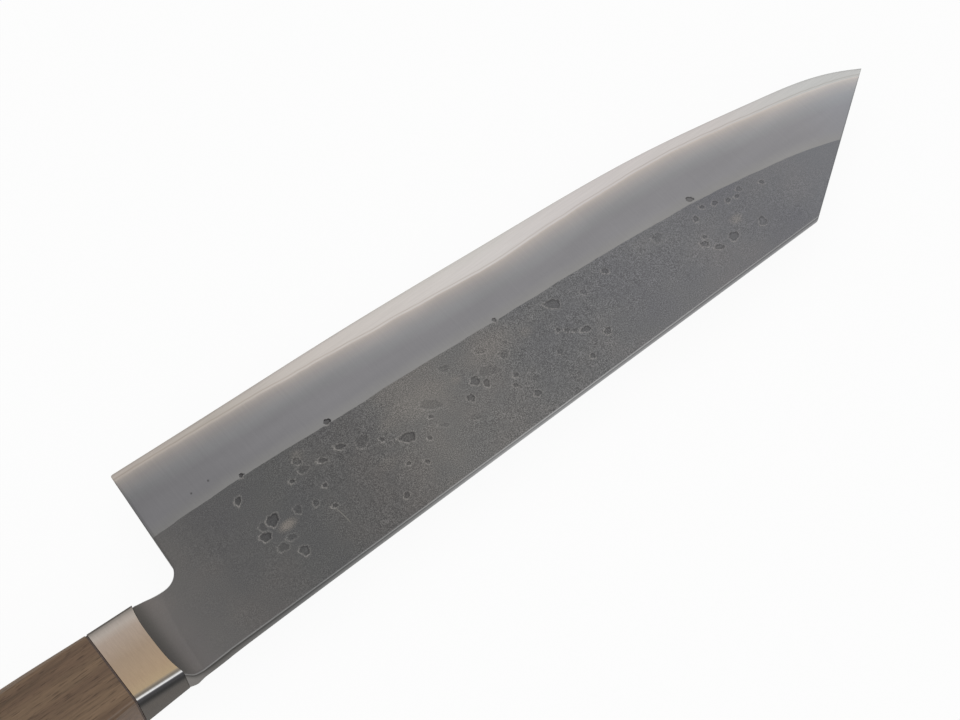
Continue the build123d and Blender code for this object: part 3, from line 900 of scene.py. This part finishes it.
ferrule = {
    "length": 11.3,
    "frontHeight": 9.7,
    "backHeight": 9.55,
    "frontHalf": 5.35,
    "backHalf": 7.05,
    "hollow": 1.0,
    "arris": 0.85,
    "cornerSteps": 6,
    "faceSteps": 14,
    "sections": (0.75, 0.5, 0.25, 0.02, 0.0),   # shares of the length, from back to front
    "sharpAngle": 28,
    "slotHeight": 3.7,
    "slotHalf": 1.7,
    "slotRound": 0.2,
    "seatDepth": 4.0,
    "boreRadius": 5.05,
    "backEase": 0.12,
}


# Nickel silver, drawn and polished by hand: warm and satin on its broad faces, with fine slanting
# rub marks. Its reflections are painted: greyer toward the edge side of the broad face, a white
# highlight on the spine-side arris, black below it and grey further down, and greyer tones on the
# edge-side arris.
def polishedNickelSilver():
    material, add, place = newMaterial("nickel_silver_hand_polished")
    # Painted reflection tones across the broad face, greyer toward the edge side
    face = add("ValToRGB", [add("MapRange", ["towardEdge", -9.4, 9.4])], {
        0.05: "#86765f", 0.20: "#806f5c", 0.50: "#7a6b5c", 0.78: "#80746a", 0.88: "#877f78",
    })
    # The painted highlight on the spine-side arris, between dark lines
    arrisHighlighted = add("ValToRGB", [add("MapRange", ["pastSpineArris", -2.0, 2.0])], {
        0.12: "#80735f", 0.20: "#71675b", 0.28: "#5a544c", 0.35: "#7d7872", 0.41: "#c9c8c6",
        0.50: "#cfcfcf", 0.57: "#6a696b", 0.66: "#484749", 0.90: "#434244",
    })
    # Painted reflection down the spine side: black below the arris, grey further down
    paintedSideReflection = add("ValToRGB", [add("MapRange", ["pastSpineArris", 0.0, 8.0])], {
        0.09: "#5a585a", 0.17: "#494748", 0.24: "#3d3c3c", 0.31: "#353434", 0.40: "#393837",
        0.48: "#484643", 0.56: "#565350", 0.65: "#605c58", 0.80: "#645f5a",
    })
    # Painted reflection tones over the edge-side arris
    greyed = add("ValToRGB", [add("MapRange", ["pastEdgeArris", -3.0, 1.0])], {
        0.10: "#847d76", 0.38: "#7c756f", 0.50: "#6c6762", 0.62: "#67625d", 0.75: "#544f4b",
    })
    onSide = add("MapRange", ["pastSpineArris", 1.2, 1.68])
    side = add("Mix", {0: onSide, 6: arrisHighlighted, 7: paintedSideReflection}, **blended)
    onEdgeArris = add("MapRange", ["pastEdgeArris", -3.0, -1.6])
    upper = add("Mix", {0: onEdgeArris, 6: face, 7: greyed}, **blended)
    onSpineArris = add("MapRange", ["pastSpineArris", -1.6, -1.36])
    tone = add("Mix", {0: onSpineArris, 6: upper, 7: side}, **blended)
    spread = add("Mapping", {"Vector": place, "Scale": (3200.0, 420.0, 420.0), "Rotation": (0, 0, 0.9)})
    marks = add("TexNoise", {"Vector": spread, "Scale": 1.0, "Detail": 3.0})   # 0.3 mm apart
    shade = add("MapRange", [marks, 0.3, 0.7, 0.93, 1.05])
    marked = add("Mix", {0: 1.0, 6: tone, 7: shade}, **multiplied)
    traits = {"Metallic": 1.0, "Specular Tint": "#c4c4c4"}
    endMaterial(add, marked, marks, (0.16, 0.30), (0.08, 0.02), traits)
    return material


def edgesBetween(bm, verts):
    return [e for e in bm.edges if e.verts[0] in verts and e.verts[1] in verts]


# Loop of a rounded rectangle with half sizes y and z, square to the centre line. Its faces have
# points of their own, so that it can be hollow; a circle's are spread over its corners.
def roundedLoop(bm, x, y, z, radius, hollow=0.0):
    count = 4 * (ferrule["cornerSteps"] + 1) + 2 * ferrule["faceSteps"]
    steps = count // 4 - 1 if radius == y else ferrule["cornerSteps"]
    places = []
    for corner, (sy, sz) in enumerate(((1, 1), (-1, 1), (-1, -1), (1, -1))):
        for step in range(steps + 1):
            angle = (corner + step / steps) * math.pi / 2
            across, up = radius * math.cos(angle), radius * math.sin(angle)
            places.append((sy * (y - radius) + across, sz * (z - radius) + up))
        if corner in (0, 2) and radius < y:
            for step in range(1, ferrule["faceSteps"] + 1):
                share = 1 - 2 * step / (ferrule["faceSteps"] + 1)
                places.append((sy * (y - radius) * share, sz * z))
    loop = bmesh.ops.create_circle(bm, segments=count, radius=1.0)["verts"]
    for v, (b, c) in zip(loop, places):
        v.co = (x - hollow * max(0, 1 - abs(b / ferrule["frontHeight"]) ** 3), b, c)
    return edgesBetween(bm, loop)


def loopStack(bm, loops):
    for first, second in zip(loops, loops[1:]):
        bmesh.ops.bridge_loops(bm, edges=first + second)


# Half height and half thickness of the ferrule, at a share of its length
def ferruleHalves(share):
    height = between(ferrule["frontHeight"], ferrule["backHeight"], share)
    return height, between(ferrule["frontHalf"], ferrule["backHalf"], share)


def ferrulePiece():
    bm = bmesh.new()
    back, ease, arris = -ferrule["length"], ferrule["backEase"], ferrule["arris"]
    y, z = ferruleHalves(1.0)
    loops = [roundedLoop(bm, back, y - ease, z - ease, arris), roundedLoop(bm, back + ease, y, z, arris)]
    for share in ferrule["sections"]:
        hollow = ferrule["hollow"] * (1 - share) ** 3
        loops.append(roundedLoop(bm, back * share, *ferruleHalves(share), arris, hollow))
    seat = back + ferrule["seatDepth"]
    slot = ferrule["slotHeight"], ferrule["slotHalf"], ferrule["slotRound"]
    bore = [ferrule["boreRadius"]] * 3
    loops += [roundedLoop(bm, 0, *slot, ferrule["hollow"]), roundedLoop(bm, seat, *slot)]
    loops += [roundedLoop(bm, seat, *bore), roundedLoop(bm, back, *bore)]
    loopStack(bm, loops + loops[:1])
    finish = polishedNickelSilver()
    sharp = ferrule["sharpAngle"]
    piece = finishPiece(bm, "ferrule_collar", ["ferrule"], [finish], sharp)
    x, y, z = drawnPlaces(piece).T
    height, half = ferruleHalves(np.clip(-x / ferrule["length"], 0, 1))
    pastEdge = (half - np.abs(z)) - (height - y)
    keepMeasures(piece, pastSpineArris=(half - z) - (height + y), pastEdgeArris=pastEdge, towardEdge=y)


ferrulePiece()

handle = {
    "front": -11.7,
    "length": 118.0,
    "stations": 40,
    "frontHeight": 9.6,
    "buttHeight": 12.5,
    "frontHalf": 7.05,
    "buttHalf": 9.75,
    "chamfer": 5.4,
    "arris": 0.36,
    "arrisSteps": 4,
    "buttRound": 1.0,
    "buttSteps": 5,
    "sharpAngle": 20,
    "boreRadius": 5.05,
    "boreEnd": -80.35,
}
# By share along the handle: how far height, thickness and the long chamfers have grown
swell = [(0.0, 0.0), (0.17, 0.50), (0.42, 0.90), (0.72, 1.0), (1.0, 1.0)]
thicken = [(0.0, 0.0), (0.17, 0.24), (0.42, 0.72), (0.72, 1.0), (1.0, 1.0)]
chamfering = [(0.0, 0.11), (0.17, 0.28), (0.42, 0.78), (0.72, 1.0), (1.0, 1.0)]


# Walnut, cut along the grain, sanded and oiled: brown with long pale fibres, short dark pores and
# a low satin gloss; the arrises carry a painted pale highlight
def oiledWalnut():
    material, add, place = newMaterial("walnut_sanded_oiled")
    turn = (0.0, 0.02, 0.05)
    spread = add("Mapping", {"Vector": place, "Scale": (14.0, 210.0, 210.0), "Rotation": turn})
    bands = add("TexNoise", {"Vector": spread, "Scale": 1.0, "Detail": 4.0, "Distortion": 0.6})   # 5 mm
    spread = add("Mapping", {"Vector": place, "Scale": (90.0, 2200.0, 2200.0), "Rotation": turn})
    fibres = add("TexNoise", {"Vector": spread, "Scale": 1.0, "Detail": 3.0, "Roughness": 0.6})   # 0.5 mm
    spread = add("Mapping", {"Vector": place, "Scale": (320.0, 3400.0, 3400.0), "Rotation": turn})
    dots = add("TexNoise", {"Vector": spread, "Scale": 1.0, "Detail": 1.0})   # 3 by 0.3 mm
    base = add("ValToRGB", [bands], {
        0.30: "#5f4c3b", 0.45: "#6d5745", 0.60: "#78624d", 0.75: "#806953",
    })
    shade = add("MapRange", [fibres, 0.3, 0.7, 0.78, 1.17])
    streaked = add("Mix", {0: 1.0, 6: base, 7: shade}, **multiplied)
    pores = add("ValToRGB", [dots], {0.28: 0.6, 0.44: 0.0})
    pored = add("Mix", {0: pores, 6: streaked, 7: "#3a2a1f"}, **blended)
    # A painted highlight along every arris
    onArris = add("MapRange", ["fromArris", 0.04, 0.30, 0.4, 0.0])
    highlightedArrises = add("Mix", {0: onArris, 6: pored, 7: "#978a7e"}, **blended)
    height = add("Math", [fibres, pores], operation="SUBTRACT")
    traits = {"Specular IOR Level": 0.25, "Coat Weight": 0.08, "Coat Roughness": 0.28}
    endMaterial(add, highlightedArrises, fibres, (0.42, 0.6), (0.35, 0.08), traits, height)
    return material


# Corners of the handle's section at a share of its length, drawn in by the inset
def octagonCorners(share, inset=0.0):
    grow = [float(splineAt(rows, np.array([share]))[0]) for rows in (swell, thicken, chamfering)]
    y = between(handle["frontHeight"], handle["buttHeight"], min(grow[0], 1))
    z = between(handle["frontHalf"], handle["buttHalf"], min(grow[1], 1))
    cut = handle["chamfer"] * grow[2] - inset * (2 - math.sqrt(2))
    y, z = y - inset, z - inset
    quarter = [(y, z - cut), (y - cut, z)]
    half = quarter + [(-b, c) for b, c in reversed(quarter)]
    return half + [(b, -c) for b, c in reversed(half)]


def handlePiece():
    bm = bmesh.new()
    ring = bmesh.ops.create_circle(bm, segments=8, radius=1.0)["verts"]
    for v, (y, z) in zip(ring, octagonCorners(0.0)):
        v.co = (handle["front"], y, z)
    edges = list(bm.edges)
    full = handle["length"] - handle["buttRound"]
    sections = [(full * k / handle["stations"], 0.0) for k in range(1, handle["stations"] + 1)]
    for angle in np.linspace(0, math.pi / 2, handle["buttSteps"] + 1)[1:]:
        inset = handle["buttRound"] * (1 - math.cos(angle))
        sections.append((full + handle["buttRound"] * math.sin(angle), inset))
    for reach, inset in sections:
        out = bmesh.ops.extrude_edge_only(bm, edges=edges)["geom"]
        newVerts = [g for g in out if isinstance(g, bmesh.types.BMVert)]
        edges = [g for g in out if isinstance(g, bmesh.types.BMEdge) and set(g.verts) <= set(newVerts)]
        corners = octagonCorners(reach / handle["length"], inset)
        for v in newVerts:
            turn = math.atan2(v.co.z, v.co.y)
            nearest = min(corners, key=lambda c: abs(turn - math.atan2(c[1], c[0])))
            v.co = (handle["front"] - reach, *nearest)
    bmesh.ops.contextual_create(bm, geom=edges)
    long = [e for e in bm.edges if abs((e.verts[0].co - e.verts[1].co).x) > 0.001]
    steps = handle["arrisSteps"]
    bmesh.ops.bevel(
        bm, geom=long, offset=handle["arris"], affect="EDGES", segments=steps, profile=0.5, material=-1,
    )

    # Bore for the dowel, closed at its end
    mouth = [e for e in bm.edges if e.is_boundary]
    rings = [mouth]
    for x in (handle["front"], handle["boreEnd"]):
        circle = bmesh.ops.create_circle(bm, segments=len(mouth), radius=handle["boreRadius"])["verts"]
        bmesh.ops.rotate(bm, verts=circle, matrix=Matrix.Rotation(math.pi / 2, 3, "Y"))
        bmesh.ops.translate(bm, verts=circle, vec=(x, 0, 0))
        rings.append(edgesBetween(bm, circle))
    loopStack(bm, rings)
    bmesh.ops.contextual_create(bm, geom=rings[-1])
    finish = oiledWalnut()
    piece = finishPiece(bm, "walnut_handle", ["handle_body"], [finish], handle["sharpAngle"])
    fromArris = []
    for x, y, z in drawnPlaces(piece):
        share = min(max((handle["front"] - x) / handle["length"], 0), 1)
        fromArris.append(min(math.hypot(y - b, z - c) for b, c in octagonCorners(share)))
    keepMeasures(piece, fromArris=fromArris)


handlePiece()


# Vulcanised fibre, sawn from sheet: dark brown, matt, with a paper-like speckle
def vulcanisedFibre():
    material, add, place = newMaterial("vulcanised_fibre_sawn")
    specks = add("TexNoise", {"Vector": place, "Scale": 2500.0, "Detail": 2.0})   # 0.4 mm
    tone = add("ValToRGB", [specks], {0.35: "#3f322c", 0.65: "#54453d"})
    endMaterial(add, tone, specks, 0.7, (0.2, 0.03))
    return material


# Beech, turned to a pin: pale with short brown flecks
def turnedBeech():
    material, add, place = newMaterial("beech_turned")
    spread = add("Mapping", {"Vector": place, "Scale": (200.0, 1800.0, 1800.0)})
    flecks = add("TexNoise", {"Vector": spread, "Scale": 1.0, "Detail": 3.0})   # 5 by 0.6 mm
    tone = add("ValToRGB", [flecks], {
        0.30: "#a9825c", 0.50: "#c9a57c", 0.70: "#d8b991",
    })
    endMaterial(add, tone, flecks, 0.6, (0.2, 0.05))
    return material


# Epoxy, poured and set: amber, glossy, with small trapped bubbles
def setEpoxy():
    material, add, place = newMaterial("epoxy_set")
    bubbles = add("TexVoronoi", {"Vector": place, "Scale": 900.0})   # 1 mm
    tone = add("ValToRGB", [bubbles], {0.10: "#d9c08a", 0.35: "#b48f4e"})
    add("OutputMaterial", [add("BsdfPrincipled", {"Base Color": tone, "Roughness": 0.2})])
    return material


finishes = {"fibre_liner": vulcanisedFibre(), "tang_dowel": turnedBeech(), "resin_bedding": setEpoxy()}
for node, finish in finishes.items():
    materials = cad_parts[node].data.materials
    materials.clear()
    materials.append(finish)
    print("finished", node)

studio = {
    "floorSize": 6.0,
    "floorDrop": 0.05,   # in millimetres, so that it doesn't touch the knife
    "floorGlow": 0.94,   # how far the paper is lifted to white, as an overexposed sweep is
    "worldStrength": 0.5,
    "cameraPlace": (-81.8, -184.7, 424.4),
    "cameraAim": (51.2, -3.2, 9.8),
    "cameraLens": 77.63,
    "cameraLean": -2.97,
    "cameraNear": 0.01,
}
# Place and aim in millimetres, size in metres, power in watts
lamps = {
    "key_softbox": {"place": (450, 340, 700), "aim": (60, 0, 10), "size": (0.70, 0.65), "power": 1.24},
    "fill_softbox": {"place": (-350, -300, 650), "aim": (0, 0, 10), "size": (0.80, 0.80), "power": 0.8},
    "window_panel": {"place": (-50, -700, 330), "aim": (0, 0, 10), "size": (1.10, 0.60), "power": 0.6},
}


# 1 for the rays that show the background: straight, mirrored or passed through
def seenRays(add):
    rays = add("LightPath").node.outputs
    seen = add("Math", [rays["Is Camera Ray"], rays["Is Glossy Ray"]], operation="MAXIMUM")
    return add("Math", [seen, rays["Is Transmission Ray"]], operation="MAXIMUM")


# White paper, rolled: matt, with a faint fibre that its overexposure hides
def paleFloor():
    material, add, place = newMaterial("white_paper_sweep")
    fibre = add("TexNoise", {"Vector": place, "Scale": 900.0, "Detail": 2.0})   # 1.1 mm
    tone = add("ValToRGB", [fibre], {0.3: "#f4f4f3", 0.7: "#f9f9f8"})
    paper = add("BsdfDiffuse", {"Color": tone})
    white = add("Emission", {"Color": "#ffffff", "Strength": 1.0})
    lift = add("Math", [seenRays(add), studio["floorGlow"]], operation="MULTIPLY")
    add("OutputMaterial", [add("MixShader", [lift, paper, white])])
    return material


floorMesh = bpy.data.meshes.new("floor")
bm = bmesh.new()
bmesh.ops.create_grid(bm, x_segments=4, y_segments=4, size=studio["floorSize"] / 2)
bmesh.ops.translate(bm, vec=(0, 0, -studio["floorDrop"] * mm), verts=bm.verts)
bm.to_mesh(floorMesh)
bm.free()
floorMesh.materials.append(paleFloor())
floor = bpy.data.objects.new("floor", floorMesh)
bpy.context.scene.collection.objects.link(floor)
print("floor laid")


# Stands an object at a place, turned to its aim, in millimetres
def stand(thing, place, aim, lean=0.0):
    turn = (Vector(aim) - Vector(place)).to_track_quat("-Z", "Y").to_matrix().to_4x4()
    leaned = turn @ Matrix.Rotation(math.radians(lean), 4, "Z")
    thing.matrix_world = Matrix.Translation(Vector(place) * mm) @ leaned
    bpy.context.scene.collection.objects.link(thing)


for name, look in lamps.items():
    light = bpy.data.lights.new(name, "AREA")
    light.shape = "RECTANGLE"
    light.size, light.size_y = look["size"]
    light.energy = look["power"]
    stand(bpy.data.objects.new(name, light), look["place"], look["aim"])

world = bpy.data.worlds.new("studio_white")
world.use_nodes = True
world.node_tree.nodes.clear()
add = partial(addNode, world.node_tree)
dim = add("Background", {"Color": "#ffffff", "Strength": studio["worldStrength"]})
white = add("Background", {"Color": "#ffffff", "Strength": 1.0})
add("OutputWorld", [add("MixShader", [seenRays(add), dim, white])])
bpy.context.scene.world = world

cameraData = bpy.data.cameras.new("camera")
cameraData.lens = studio["cameraLens"]
cameraData.clip_start = studio["cameraNear"]
camera = bpy.data.objects.new("camera", cameraData)
stand(camera, studio["cameraPlace"], studio["cameraAim"], studio["cameraLean"])
bpy.context.scene.camera = camera
bpy.context.scene.view_settings.view_transform = "Standard"
print("studio lit")
